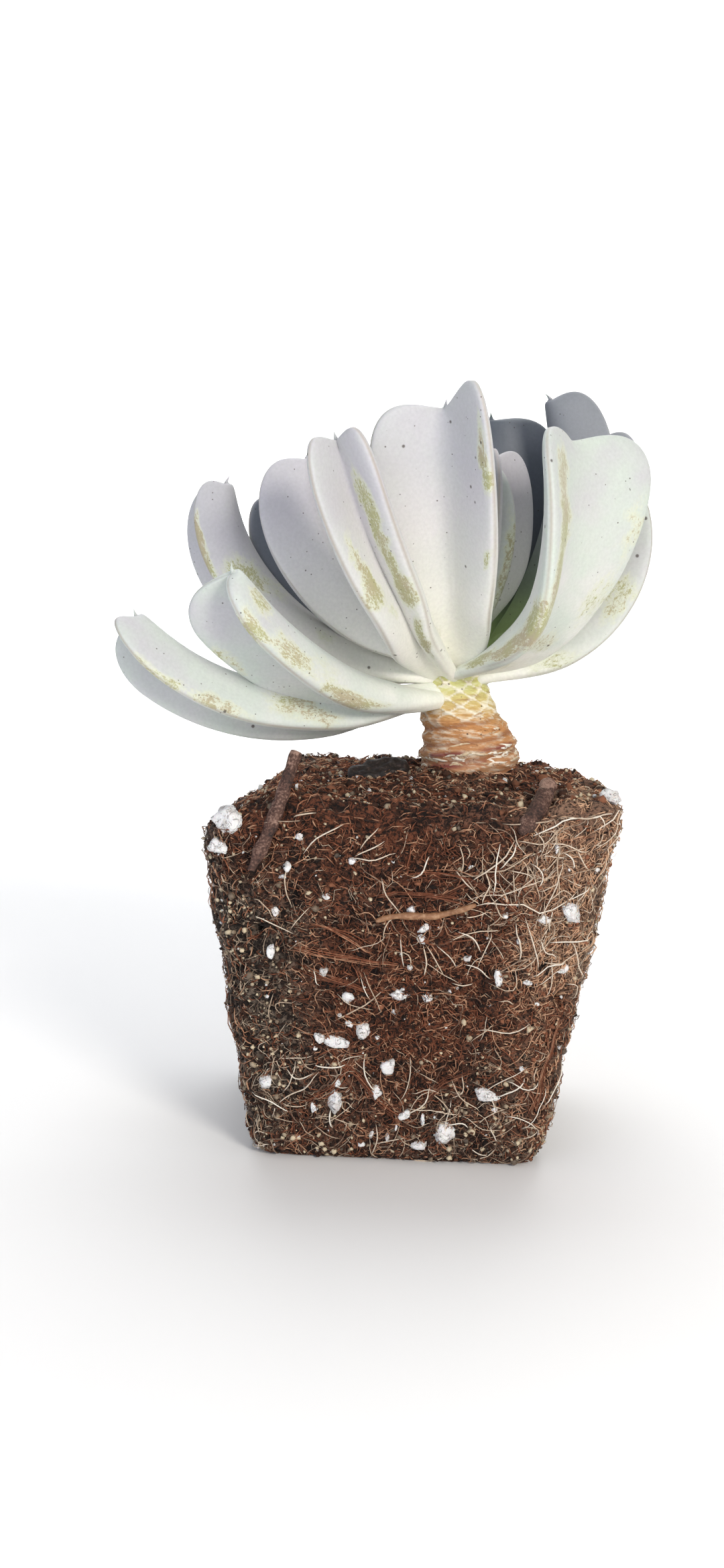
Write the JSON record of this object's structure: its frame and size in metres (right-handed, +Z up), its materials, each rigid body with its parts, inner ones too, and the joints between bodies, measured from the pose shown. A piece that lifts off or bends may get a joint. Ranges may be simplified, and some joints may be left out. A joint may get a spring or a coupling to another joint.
{
  "type": "echeveria plant with root ball",
  "caption": "Rosette succulent with thick, grooved, silvery leaves on a short scarred stem, growing from a square ball of potting mix bound by roots.",
  "frame": {"origin": "middle of the flat underside of the root ball", "axes": "+Z up the plant, -Y towards the side the picture was taken from, +X to the right in the picture"},
  "size_m": [0.1223, 0.1114, 0.1796],
  "materials": {
    "leaf_skin": "waxy, silvery, matte",
    "stem_skin": "dry, wrinkled",
    "potting_mix": "loose fibres, matte",
    "twig_bark": "matte bark",
    "bark": "matte bark",
    "root": "matte",
    "perlite": "porous, matte"
  },
  "bodies": {
    "root": {"root_ball": "potting_mix", "stem": "stem_skin", "bark_chip": "bark", "long_root": "root", "twig_left": "twig_bark", "twig_right": "twig_bark", "perlite_1": "perlite", "perlite_2": "perlite", "perlite_3": "perlite", "perlite_4": "perlite", "perlite_5": "perlite", "perlite_6": "perlite", "perlite_7": "perlite", "perlite_8": "perlite", "leaf_01": "leaf_skin", "leaf_02": "leaf_skin", "leaf_03": "leaf_skin", "leaf_04": "leaf_skin", "leaf_05": "leaf_skin", "leaf_06": "leaf_skin", "leaf_07": "leaf_skin", "leaf_08": "leaf_skin", "leaf_09": "leaf_skin", "leaf_10": "leaf_skin", "leaf_11": "leaf_skin", "leaf_12": "leaf_skin", "leaf_13": "leaf_skin", "leaf_14": "leaf_skin", "leaf_15": "leaf_skin", "leaf_16": "leaf_skin", "leaf_17": "leaf_skin", "leaf_18": "leaf_skin", "leaf_19": "leaf_skin", "leaf_20": "leaf_skin", "leaf_21": "leaf_skin", "leaf_22": "leaf_skin", "leaf_23": "leaf_skin", "leaf_24": "leaf_skin"}
  },
  "joints": []
}
